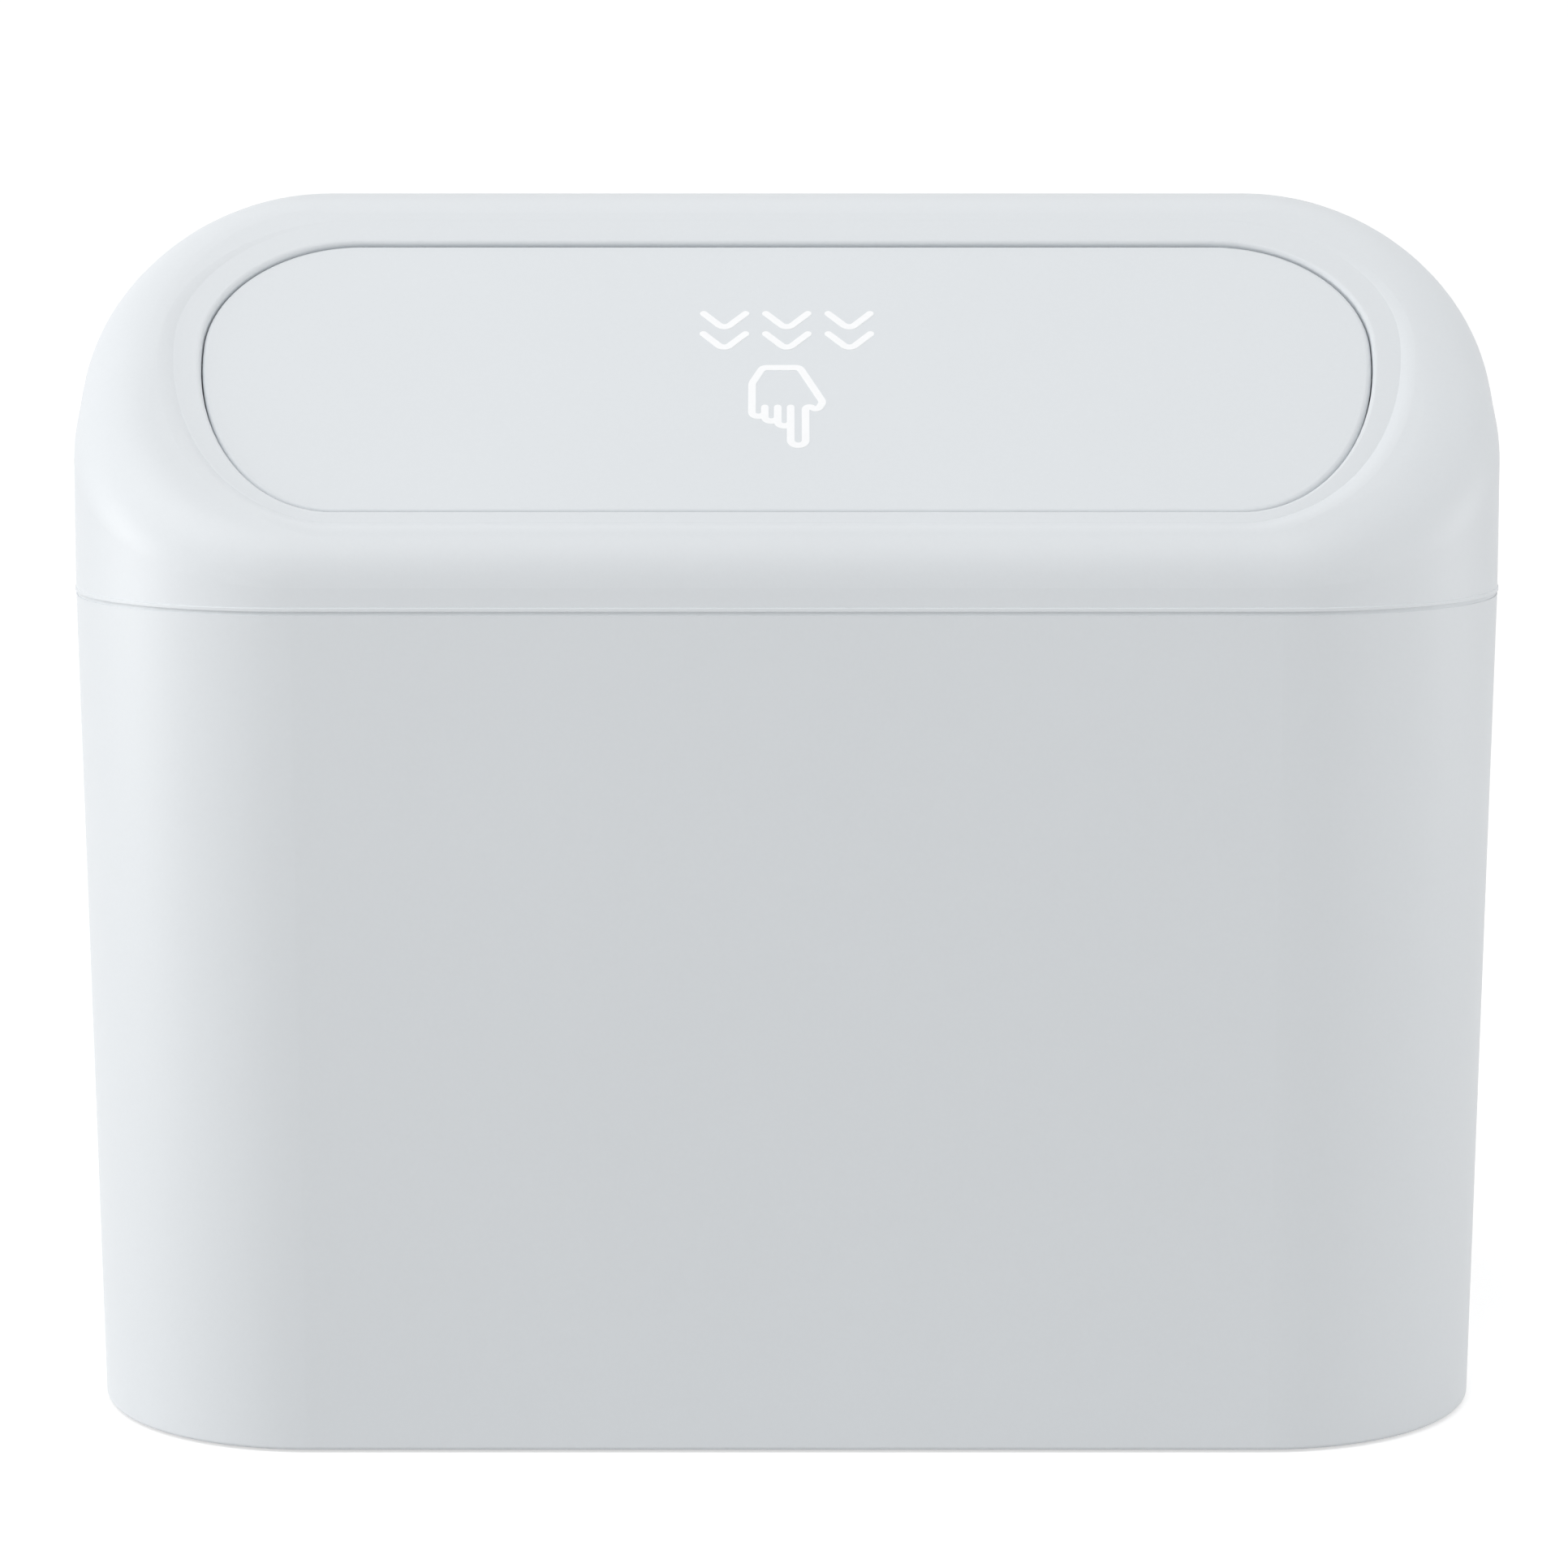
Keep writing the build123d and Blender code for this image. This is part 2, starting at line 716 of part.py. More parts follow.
def make_rail_screws():
    screws = []
    for x, z in rail_screw_points():
        seat = wall_face(z) - bucket_wall - head_seat_gap
        shank = along_depth(rail_screw_radius, x, z, seat, wall_face(z) + rail_screw_grip)
        head = along_depth(rail_screw_head_radius, x, z, seat - rail_screw_head_height, seat)
        slot_depth = rail_screw_head_height / 2
        slot = block(
            (x - rail_screw_head_radius, x + rail_screw_head_radius),
            (seat - rail_screw_head_height, seat - slot_depth),
            (z - rail_screw_head_radius / 6, z + rail_screw_head_radius / 6),
        )
        screws.append(shank + head - slot)
    return screws


def make_rear_bumper():
    z = base + bumper_height
    disc = along_depth(bumper_radius, body_width / 2 - bumper_inset, z, 0, rail_face)
    rim = [e for e in disc.edges() if (e @ 0.5).Y > rail_face - 0.01]
    return fillet(rim, rail_edge_round) - bucket_blank()


def save(name, shapes):
    """One file for each named piece; like pieces share a file as separate solids."""
    solids = []
    for shape in shapes if isinstance(shapes, list) else [shapes]:
        solids += shape.solids()
    piece = solids[0] if len(solids) == 1 else Compound(solids)
    export_step(piece, f"parts/{name}.step")


def save_pair(name, right_shape):
    right, left = both_sides(right_shape)
    save(name + "_left", left)
    save(name + "_right", right)


os.makedirs("parts", exist_ok=True)
save("bin_body", make_bucket())
save("base_pad", make_base_pad())
save("bag_ring", make_bag_ring())
save("lid_frame", make_lid_frame())
save("stop_pads", make_stop_pads())
save("flap", make_flap())
save("flap_liner", make_flap_liner())
save("liner_screws", make_liner_screws())
save_pair("pivot_pin", make_pivot_pin())
save_pair("pivot_bracket", make_pivot_bracket())
save("bracket_screws", make_bracket_screws())
save_pair("return_spring", make_return_spring())
save("hook_rail", make_hook_rail())
save("rail_screws", make_rail_screws())
save("hanging_hook", make_hanging_hook())
save_pair("rear_bumper", make_rear_bumper())
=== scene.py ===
"""Finish, small printed and sprung pieces, and studio for a car bin with a sloped push flap."""

import json
from math import cos, pi, radians, sin

import bmesh
import bpy
from bpy.props import FloatProperty, FloatVectorProperty, IntProperty, PointerProperty
from mathutils import Matrix, Vector


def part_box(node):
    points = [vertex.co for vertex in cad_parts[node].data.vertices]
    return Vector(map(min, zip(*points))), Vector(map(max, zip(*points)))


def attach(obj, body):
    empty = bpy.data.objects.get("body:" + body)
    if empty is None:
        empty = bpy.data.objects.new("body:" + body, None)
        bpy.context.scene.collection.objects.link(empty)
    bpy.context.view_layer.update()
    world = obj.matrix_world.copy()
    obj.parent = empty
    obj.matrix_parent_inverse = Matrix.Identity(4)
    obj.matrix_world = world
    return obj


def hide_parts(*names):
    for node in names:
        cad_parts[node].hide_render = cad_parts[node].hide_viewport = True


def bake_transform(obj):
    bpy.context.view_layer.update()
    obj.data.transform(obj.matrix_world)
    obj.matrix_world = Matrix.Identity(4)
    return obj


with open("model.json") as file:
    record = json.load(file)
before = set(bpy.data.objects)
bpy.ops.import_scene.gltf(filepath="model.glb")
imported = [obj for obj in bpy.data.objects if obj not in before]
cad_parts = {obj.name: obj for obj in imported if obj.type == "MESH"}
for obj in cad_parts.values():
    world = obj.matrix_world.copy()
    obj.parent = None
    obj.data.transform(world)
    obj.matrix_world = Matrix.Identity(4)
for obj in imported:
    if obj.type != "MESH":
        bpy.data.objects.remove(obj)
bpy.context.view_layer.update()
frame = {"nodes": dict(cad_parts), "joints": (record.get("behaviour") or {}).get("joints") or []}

bl_info = {
    "name": "Car Bin Dresser",
    "version": (1, 0, 0),
    "blender": (4, 5, 0),
    "location": "View3D > Sidebar > Car Bin",
    "description": "Gives a push-flap car bin its moulded finish, printed marks, springs and studio",
    "category": "Object",
}

MM = 0.001
CAMERA_RAISE = 186.4 * MM
CAMERA_DISTANCE = 596.0 * MM
CAMERA_SIDE = -0.42 * MM
CAMERA_TILT = radians(8.97)
CAMERA_LENS = 92.09
SENSOR_WIDTH = 36.0

# Handling marks are this many times as wide as a grain of the moulded texture
HANDLING_SCALE = 60.0
# Units of the hand's outline in its width
HAND_UNITS = 10
# Share of the ink film by which the last printed line is thinner than the first
INK_THINNING = 0.6
# Steps in one turn of a spring's wire
COIL_STEPS = 24

# Lamps as their setting's name, place, width and height, in metres
LAMPS = (
    ("left_top", (-0.9, -0.5, 1.1), 0.8, 0.8),
    ("left", (-1.3, -0.1, 0.2), 0.6, 0.4),
    ("right_front", (1.1, -0.8, 0.19), 0.8, 0.38),
    ("right", (1.3, 0.1, 0.2), 0.6, 0.4),
    ("back", (0.0, 0.7, 1.5), 1.2, 0.8),
    ("top", (0.0, -1.0, 1.4), 1.2, 0.8),
)
LAMP_TARGET = Vector((0.0, 0.0, 0.1))

# The backdrop's floor and wall, in metres
FLOOR_FRONT = -2.5
WALL_BACK = 1.6
WALL_HEIGHT = 3.0
SWEEP_RADIUS = 0.9
SWEEP_STEPS = 16
HALF_WIDTH = 3.5


# Sizes and colours that a user would change

def colour_setting(name, description, default):
    return FloatVectorProperty(
        name=name, description=description, subtype="COLOR", size=3, min=0.0, max=1.0, default=default
    )


def length_setting(name, description, default):
    return FloatProperty(
        name=name, description=description, subtype="DISTANCE", unit="LENGTH", min=0.0,
        precision=5, default=default,
    )


def share_setting(name, description, default):
    return FloatProperty(
        name=name, description=description, subtype="FACTOR", min=0.0, max=1.0, default=default
    )


def power_setting(name, description, default):
    return FloatProperty(
        name=name, description=description, subtype="POWER", unit="POWER", min=0.0, default=default
    )


class CARBIN_PG_finish(bpy.types.PropertyGroup):
    bucket_colour: colour_setting("Bucket", "Colour of the bucket's plastic", (0.728, 0.757, 0.781))
    lid_colour: colour_setting("Lid frame", "Colour of the lid frame's plastic", (0.733, 0.762, 0.787))
    flap_colour: colour_setting("Flap", "Colour of the flap's plastic", (0.742, 0.772, 0.797))
    inner_colour: colour_setting("Inner parts", "Colour of hidden moulded parts", (0.72, 0.75, 0.775))
    pad_colour: colour_setting("Soft pads", "Colour of the pads and bumpers", (0.46, 0.48, 0.50))
    steel_colour: colour_setting("Steel", "Colour of pins, screws and springs", (0.62, 0.63, 0.64))
    ink_colour: colour_setting("Print", "Colour of the printed marks", (0.97, 0.98, 0.99))
    grain_size: length_setting("Grain size", "Width of one grain of the moulded texture", 0.35 * MM)
    grain_depth: length_setting("Grain depth", "Depth of the moulded texture", 0.006 * MM)
    shell_roughness: share_setting("Shell roughness", "Roughness of the outer plastic", 0.46)


class CARBIN_PG_marks(bpy.types.PropertyGroup):
    stroke: length_setting("Stroke", "Width of a printed line", 1.1 * MM)
    film: length_setting("Film", "Height of the printed ink over the flap", 0.03 * MM)
    arrow_width: length_setting("Arrowhead width", "Width of one arrowhead", 6.2 * MM)
    arrow_height: length_setting("Arrowhead height", "Height of one arrowhead", 3.4 * MM)
    arrow_pitch: length_setting("Arrowhead pitch", "Distance between arrowheads", 9.2 * MM)
    arrow_step: length_setting("Row step", "Distance between the rows of arrowheads", 4.4 * MM)
    arrow_rise: length_setting("Arrowhead rise", "Rows' middle, up from the flap's middle", 9.1 * MM)
    arrow_count: IntProperty(name="Arrowheads", description="How many stand in a row", min=1, default=3)
    arrow_rows: IntProperty(name="Rows", description="How many rows of arrowheads", min=1, default=2)
    hand_width: length_setting("Hand width", "Width of the pointing hand", 11.0 * MM)
    hand_rise: length_setting("Hand rise", "Top of the hand, up from the flap's middle", 1.35 * MM)


class CARBIN_PG_springs(bpy.types.PropertyGroup):
    wire: length_setting("Wire", "Diameter of the spring wire", 0.7 * MM)
    radius: length_setting("Coil radius", "Radius of the coil at the wire's middle", 2.2 * MM)
    pitch: length_setting("Pitch", "Distance from turn to turn", 1.25 * MM)
    turns: FloatProperty(name="Turns", description="Turns of wire in the coil", min=1.0, default=4.25)
    leg: length_setting("Leg", "Leg under the front of the flap", 12.0 * MM)
    hook: length_setting("Hook", "Leg that rests on the bracket", 7.0 * MM)


class CARBIN_PG_tread(bpy.types.PropertyGroup):
    end_flat: length_setting("End flat", "Straight stretch at each end of the pad", 2.0 * MM)
    rib: length_setting("Rib", "Width of one rib of the tread", 1.6 * MM)
    groove: length_setting("Groove", "Width of one groove of the tread", 1.1 * MM)
    depth: length_setting("Groove depth", "Depth of the grooves", 0.4 * MM)
    edge: length_setting("Edge", "Bevel round the pad's lower edge", 0.25 * MM)
    flank: share_setting("Flank", "Share of a groove's width that each sloping side takes", 0.1)


class CARBIN_PG_stage(bpy.types.PropertyGroup):
    floor_colour: colour_setting("Backdrop", "Colour of the floor and backdrop", (0.65, 0.65, 0.65))
    glow: share_setting("Backdrop white", "Light that the camera sees in the backdrop", 0.56)
    sky: share_setting("Sky", "Strength of the even light all round", 0.362)
    left_top: power_setting("Left top", "Power of the lamp over the left shoulder", 5.2)
    left: power_setting("Left", "Power of the low lamp at the left", 5.7)
    right_front: power_setting("Right front", "Power of the low lamp at the front right", 2.25)
    right: power_setting("Right", "Power of the low lamp at the right", 2.85)
    back: power_setting("Back", "Power of the lamp over the back", 3.5)
    top: power_setting("Top", "Power of the lamp over the front", 7.9)


SETTINGS = {
    "carbin_finish": CARBIN_PG_finish,
    "carbin_marks": CARBIN_PG_marks,
    "carbin_springs": CARBIN_PG_springs,
    "carbin_tread": CARBIN_PG_tread,
    "carbin_stage": CARBIN_PG_stage,
}


# Shader building

def link(tree, source, target):
    tree.links.new(source, target)


def new_node(tree, kind, place=(0, 0), **values):
    node = tree.nodes.new(kind)
    node.location = place
    for name, value in values.items():
        setattr(node, name, value)
    return node


def shader_group(name, inputs, outputs):
    """Empty node group with these sockets, as (name, kind, default) rows, and its two end nodes."""
    tree = bpy.data.node_groups.new(name, "ShaderNodeTree")
    for direction, rows in (("INPUT", inputs), ("OUTPUT", outputs)):
        for label, kind, default in rows:
            kind = "NodeSocket" + kind
            socket = tree.interface.new_socket(name=label, in_out=direction, socket_type=kind)
            if default is not None:
                socket.default_value = default
    start = new_node(tree, "NodeGroupInput", (-900, 0))
    end = new_node(tree, "NodeGroupOutput", (600, 0))
    return tree, start, end


def maths(tree, operation, first, second, place=(0, 0), third=None):
    """Math node whose operands are sockets or plain numbers. Returns its output."""
    node = new_node(tree, "ShaderNodeMath", place, operation=operation)
    operands = (first, second) if third is None else (first, second, third)
    for index, value in enumerate(operands):
        if isinstance(value, (int, float)):
            node.inputs[index].default_value = value
        else:
            link(tree, value, node.inputs[index])
    return node.outputs[0]


def noise(tree, size, detail, place, stretch=None):
    """Noise over the object's own coordinates, with spots of this size. Returns its value."""
    coordinates = new_node(tree, "ShaderNodeTexCoord", (place[0] - 400, place[1])).outputs["Object"]
    if stretch is not None:
        mapping = new_node(tree, "ShaderNodeMapping", (place[0] - 200, place[1]))
        mapping.inputs["Scale"].default_value = stretch
        link(tree, coordinates, mapping.inputs["Vector"])
        coordinates = mapping.outputs["Vector"]
    node = new_node(tree, "ShaderNodeTexNoise", place)
    node.inputs["Detail"].default_value = detail
    link(tree, coordinates, node.inputs["Vector"])
    link(tree, maths(tree, "DIVIDE", 1.0, size, (place[0] - 200, place[1] - 200)), node.inputs["Scale"])
    return node.outputs["Fac"]


def tinted(tree, colour, shade, place):
    """Colour times a shade that varies over the surface. Returns the new colour."""
    node = new_node(tree, "ShaderNodeVectorMath", place, operation="SCALE")
    link(tree, colour, node.inputs[0])
    link(tree, shade, node.inputs["Scale"])
    return node.outputs[0]


def make_mould_tone():
    """Faint clouds and specks in a moulded part's colour."""
    tree, start, end = shader_group(
        "Mould tone",
        [("Color", "Color", None), ("Cloud Size", "Float", 0.05), ("Clouds", "Float", 0.02),
         ("Speck Size", "Float", 0.0006), ("Specks", "Float", 0.01)],
        [("Color", "Color", None)],
    )
    clouds = noise(tree, start.outputs["Cloud Size"], 3.0, (-400, 200))
    specks = noise(tree, start.outputs["Speck Size"], 2.0, (-400, -200))
    centred_clouds = maths(tree, "SUBTRACT", clouds, 0.5, (-200, 200))
    centred_specks = maths(tree, "SUBTRACT", specks, 0.5, (-200, -200))
    cloud_shade = maths(tree, "MULTIPLY", centred_clouds, start.outputs["Clouds"], (0, 200))
    speck_shade = maths(tree, "MULTIPLY", centred_specks, start.outputs["Specks"], (0, -200))
    shade = maths(tree, "ADD", maths(tree, "ADD", cloud_shade, speck_shade, (150, 0)), 1.0, (300, 0))
    link(tree, tinted(tree, start.outputs["Color"], shade, (450, 0)), end.inputs["Color"])
    return tree


def make_matt_grain():
    """Fine spark-eroded grain: its height, and the roughness that goes with it."""
    tree, start, end = shader_group(
        "Matt grain",
        [("Grain Size", "Float", 0.0003), ("Roughness", "Float", 0.5),
         ("Roughness Range", "Float", 0.08)],
        [("Height", "Float", None), ("Roughness", "Float", None)],
    )
    grain = noise(tree, start.outputs["Grain Size"], 3.0, (-400, 200))
    handling_size = maths(
        tree, "MULTIPLY", start.outputs["Grain Size"], HANDLING_SCALE, (-700, -300)
    )
    handling = noise(tree, handling_size, 2.0, (-400, -200))
    both = maths(tree, "ADD", grain, handling, (-200, 0))
    centred = maths(tree, "MULTIPLY_ADD", both, 0.5, (100, 0), third=-0.5)
    spread = maths(tree, "MULTIPLY", centred, start.outputs["Roughness Range"], (250, 0))
    roughness = maths(tree, "ADD", spread, start.outputs["Roughness"], (400, 0))
    link(tree, grain, end.inputs["Height"])
    link(tree, roughness, end.inputs["Roughness"])
    return tree


def make_drawn_metal():
    """Streaks along the length of drawn or turned metal."""
    tree, start, end = shader_group(
        "Drawn metal",
        [("Color", "Color", None), ("Streak Size", "Float", 0.0002), ("Streaks", "Float", 0.2),
         ("Roughness", "Float", 0.3)],
        [("Color", "Color", None), ("Roughness", "Float", None), ("Height", "Float", None)],
    )
    streaks = noise(tree, start.outputs["Streak Size"], 3.0, (-400, 0), stretch=(0.08, 1.0, 1.0))
    centred = maths(tree, "SUBTRACT", streaks, 0.5, (-200, 0))
    spread = maths(tree, "MULTIPLY", centred, start.outputs["Streaks"], (0, 0))
    shade = maths(tree, "ADD", spread, 1.0, (200, 100))
    roughness = maths(tree, "ADD", spread, start.outputs["Roughness"], (200, -100))
    link(tree, tinted(tree, start.outputs["Color"], shade, (400, 100)), end.inputs["Color"])
    link(tree, roughness, end.inputs["Roughness"])
    link(tree, streaks, end.inputs["Height"])
    return tree


GROUP_MAKERS = {
    "Mould tone": make_mould_tone,
    "Matt grain": make_matt_grain,
    "Drawn metal": make_drawn_metal,
}


def place_group(tree, name, place, **values):
    """A shared node group in a material's tree, built on first use, with these input values."""
    group = bpy.data.node_groups.get(name) or GROUP_MAKERS[name]()
    node = new_node(tree, "ShaderNodeGroup", place, node_tree=group, label=name)
    for label, value in values.items():
        socket = node.inputs[label.replace("_", " ").title()]
        socket.default_value = (*value, 1.0) if hasattr(value, "__len__") else value
    return node


def new_material(name):
    """Material with one Principled shader. Returns the material, its node tree and the shader."""
    material = bpy.data.materials.new(name)
    material.use_nodes = True
    tree = material.node_tree
    shader = tree.nodes["Principled BSDF"]
    return material, tree, shader


def add_bump(tree, height, shader, depth):
    """Bumps of this depth on a shader's surface."""
    bump = new_node(tree, "ShaderNodeBump", (-250, -300))
    bump.inputs["Strength"].default_value = 1.0
    bump.inputs["Distance"].default_value = depth
    link(tree, height, bump.inputs["Height"])
    link(tree, bump.outputs["Normal"], shader.inputs["Normal"])


def moulded_plastic(name, colour, roughness, clouds=0.03, specks=0.025):
    """Matt moulded plastic."""
    found = bpy.data.materials.get(name)
    if found:
        return found
    finish = bpy.context.scene.carbin_finish
    material, tree, shader = new_material(name)
    tone = place_group(tree, "Mould tone", (-600, 200), color=colour, clouds=clouds, specks=specks)
    grain = place_group(
        tree, "Matt grain", (-600, -150), grain_size=finish.grain_size, roughness=roughness
    )
    link(tree, tone.outputs["Color"], shader.inputs["Base Color"])
    link(tree, grain.outputs["Roughness"], shader.inputs["Roughness"])
    shader.inputs["IOR"].default_value = 1.49
    add_bump(tree, grain.outputs["Height"], shader, finish.grain_depth)
    return material


def drawn_steel(name, colour, roughness, streaks):
    """Bright drawn or turned steel."""
    found = bpy.data.materials.get(name)
    if found:
        return found
    material, tree, shader = new_material(name)
    metal = place_group(
        tree, "Drawn metal", (-600, 0), color=colour, streaks=streaks, roughness=roughness
    )
    shader.inputs["Metallic"].default_value = 1.0
    link(tree, metal.outputs["Color"], shader.inputs["Base Color"])
    link(tree, metal.outputs["Roughness"], shader.inputs["Roughness"])
    add_bump(tree, metal.outputs["Height"], shader, depth=0.004 * MM)
    return material


def soft_rubber(name, colour):
    """Matt soft rubber with an open grain."""
    found = bpy.data.materials.get(name)
    if found:
        return found
    material, tree, shader = new_material(name)
    tone = place_group(tree, "Mould tone", (-600, 200), color=colour, clouds=0.08, specks=0.1)
    grain = place_group(tree, "Matt grain", (-600, -150), grain_size=0.25 * MM, roughness=0.82)
    link(tree, tone.outputs["Color"], shader.inputs["Base Color"])
    link(tree, grain.outputs["Roughness"], shader.inputs["Roughness"])
    shader.inputs["Specular IOR Level"].default_value = 0.35
    add_bump(tree, grain.outputs["Height"], shader, depth=0.02 * MM)
    return material


def printed_ink(name, colour):
    """Opaque printing ink, smoother than the plastic under it."""
    found = bpy.data.materials.get(name)
    if found:
        return found
    material, tree, shader = new_material(name)
    tone = place_group(tree, "Mould tone", (-600, 200), color=colour, clouds=0.01, specks=0.03)
    grain = place_group(tree, "Matt grain", (-600, -150), grain_size=0.2 * MM, roughness=0.38)
    link(tree, tone.outputs["Color"], shader.inputs["Base Color"])
    link(tree, grain.outputs["Roughness"], shader.inputs["Roughness"])
    add_bump(tree, grain.outputs["Height"], shader, depth=0.002 * MM)
    return material


# Mesh building

def new_piece(name, form, material, body=None, smooth=True):
    """Object made from a bmesh, which rides on a body if one is named."""
    mesh = bpy.data.meshes.new(name)
    bmesh.ops.recalc_face_normals(form, faces=form.faces)
    form.to_mesh(mesh)
    form.free()
    mesh.materials.append(material)
    if smooth:
        mesh.shade_smooth()
    piece = bpy.data.objects.new(name, mesh)
    bpy.context.scene.collection.objects.link(piece)
    if body:
        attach(piece, body)
    return piece


def dress(material, *nodes):
    """Gives CAD nodes this material."""
    for name in nodes:
        node = frame["nodes"][name]
        if not node.material_slots:
            node.data.materials.append(material)
        for slot in node.material_slots:
            slot.material = material


def flap_frame():
    """The flap's face: its middle, and unit vectors to the right, up the slope and out of the face."""
    mesh = frame["nodes"]["flap"].data
    out = Vector((0, 0, 0))
    for face in mesh.polygons:
        if face.normal.z > 0.5 and face.normal.y < -0.5:
            out += face.normal * face.area
    if out.length == 0:
        raise RuntimeError("the flap has no sloped face")
    out.x = 0
    out.normalize()
    right = Vector((1, 0, 0))
    up = out.cross(right)
    top = max(vertex.co.dot(out) for vertex in mesh.vertices)
    along = [vertex.co.dot(up) for vertex in mesh.vertices]
    middle = out * top + up * (min(along) + max(along)) / 2
    return middle, right, up, out


def joint_place(name):
    """A joint's point, in metres."""
    for joint in frame["joints"]:
        if joint["name"] == name:
            return Vector(joint["pos_m"])
    raise RuntimeError("the frame has no joint named " + name)


def rounded_path(corners, step=radians(10)):
    """Points along straight runs whose corners, as (x, y, radius) rows, are rounded by arcs."""
    path = []
    for index, (x, y, radius) in enumerate(corners):
        here = Vector((x, y))
        if radius == 0:
            path.append(here)
            continue
        before = Vector(corners[index - 1][:2]) - here
        after = Vector(corners[index + 1][:2]) - here
        half_turn = before.angle(after) / 2
        inward = (before.normalized() + after.normalized()).normalized()
        middle = here + inward * radius / sin(half_turn)
        reach = radius * cos(half_turn) / sin(half_turn)
        first = here + before.normalized() * reach - middle
        last = here + after.normalized() * reach - middle
        sweep = first.angle_signed(last)
        steps = max(1, int(abs(sweep) / step + 0.5))
        for part in range(steps + 1):
            path.append(middle + Matrix.Rotation(-sweep * part / steps, 2) @ first)
    return path


def side_normals(path):
    """Mitred left-hand normals of an open path."""
    normals = []
    for index in range(len(path)):
        ahead = path[index + 1] - path[index] if index < len(path) - 1 else None
        behind = path[index] - path[index - 1] if index > 0 else None
        runs = [run.normalized() for run in (ahead, behind) if run is not None]
        along = sum(runs, Vector((0, 0))).normalized()
        normal = Vector((-along.y, along.x))
        normals.append(normal / max(along.dot(runs[0]), 0.5))
    return normals


def stroke_edges(path, width, cap_steps=8):
    """Left and right edges of a line of this width, with round ends."""
    normals = side_normals(path)
    left = [point + normal * width / 2 for point, normal in zip(path, normals)]
    right = [point - normal * width / 2 for point, normal in zip(path, normals)]
    for end, sign in ((0, -1), (-1, 1)):
        side = normals[end]
        along = Vector((side.y, -side.x)) * sign
        for part in range(1, cap_steps):
            angle = part * pi / 2 / cap_steps
            at = 0 if end == 0 else len(left)
            left.insert(at, path[end] + (side * cos(angle) + along * sin(angle)) * width / 2)
            right.insert(at, path[end] + (along * sin(angle) - side * cos(angle)) * width / 2)
    return left, right


def add_stroke(form, path, width, place, low, high):
    """Thin raised line in a bmesh; place turns (x, y, height) into a point in the frame."""
    edges = stroke_edges(path, width)
    top_left, top_right, low_left, low_right = [
        [form.verts.new(place(point.x, point.y, level)) for point in edge]
        for level in (high, low) for edge in edges
    ]
    sides = (
        (top_left, top_right), (top_right, low_right), (low_right, low_left), (low_left, top_left)
    )
    for index in range(len(top_left) - 1):
        for first, second in sides:
            form.faces.new((first[index], first[index + 1], second[index + 1], second[index]))
    for index in (0, -1):
        form.faces.new((top_left[index], top_right[index], low_right[index], low_left[index]))


def tube(points, radius, sides=12):
    """Round tube along points, with flat ends."""
    form = bmesh.new()
    tangent = (points[1] - points[0]).normalized()
    side = tangent.orthogonal().normalized()
    rings = []
    for index, point in enumerate(points):
        ahead = points[min(index + 1, len(points) - 1)] - points[max(index - 1, 0)]
        turn = tangent.rotation_difference(ahead.normalized())
        tangent = ahead.normalized()
        side = turn @ side
        other = tangent.cross(side)
        ring = []
        for step in range(sides):
            angle = 2 * pi * step / sides
            ring.append(form.verts.new(point + (side * cos(angle) + other * sin(angle)) * radius))
        rings.append(ring)
    for first, second in zip(rings, rings[1:]):
        for step in range(sides):
            after = (step + 1) % sides
            form.faces.new((first[step], first[after], second[after], second[step]))
    form.faces.new(rings[0])
    form.faces.new(rings[-1])
    return form


def stadium(width, depth, corner, corner_steps=12):
    """Rounded rectangle as points, from its right-hand side round to the left."""
    points = []
    for quarter, (sign_x, sign_y) in enumerate(((1, 1), (-1, 1), (-1, -1), (1, -1))):
        middle = Vector((sign_x * (width / 2 - corner), sign_y * (depth / 2 - corner)))
        for step in range(corner_steps + 1):
            angle = (quarter + step / corner_steps) * pi / 2
            points.append(middle + Vector((cos(angle), sin(angle))) * corner)
    return points


# Operators, one for each piece or group of like pieces

class CARBIN_OT_bucket(bpy.types.Operator):
    """Finish the bucket in matt moulded plastic"""

    bl_idname = "carbin.bucket"
    bl_label = "Bucket"

    def execute(self, context):
        finish = context.scene.carbin_finish
        dress(moulded_plastic("bucket_matt", finish.bucket_colour, finish.shell_roughness), "bin_body")
        return {"FINISHED"}


class CARBIN_OT_lid_frame(bpy.types.Operator):
    """Finish the lid frame in matt moulded plastic"""

    bl_idname = "carbin.lid_frame"
    bl_label = "Lid Frame"

    def execute(self, context):
        finish = context.scene.carbin_finish
        dress(moulded_plastic("lid_matt", finish.lid_colour, finish.shell_roughness), "lid_frame")
        return {"FINISHED"}


class CARBIN_OT_flap(bpy.types.Operator):
    """Finish the push flap in matt moulded plastic"""

    bl_idname = "carbin.flap"
    bl_label = "Push Flap"

    def execute(self, context):
        finish = context.scene.carbin_finish
        dress(moulded_plastic("flap_matt", finish.flap_colour, finish.shell_roughness), "flap")
        return {"FINISHED"}


class CARBIN_OT_inner_parts(bpy.types.Operator):
    """Finish the bag ring, liner, brackets, rail and hook in plain moulded plastic"""

    bl_idname = "carbin.inner_parts"
    bl_label = "Inner Parts, Rail and Hook"

    def execute(self, context):
        finish = context.scene.carbin_finish
        material = moulded_plastic("inner_plain", finish.inner_colour, roughness=0.4, clouds=0.04)
        dress(
            material, "bag_ring", "flap_liner", "pivot_bracket_left", "pivot_bracket_right",
            "hook_rail", "hanging_hook",
        )
        return {"FINISHED"}


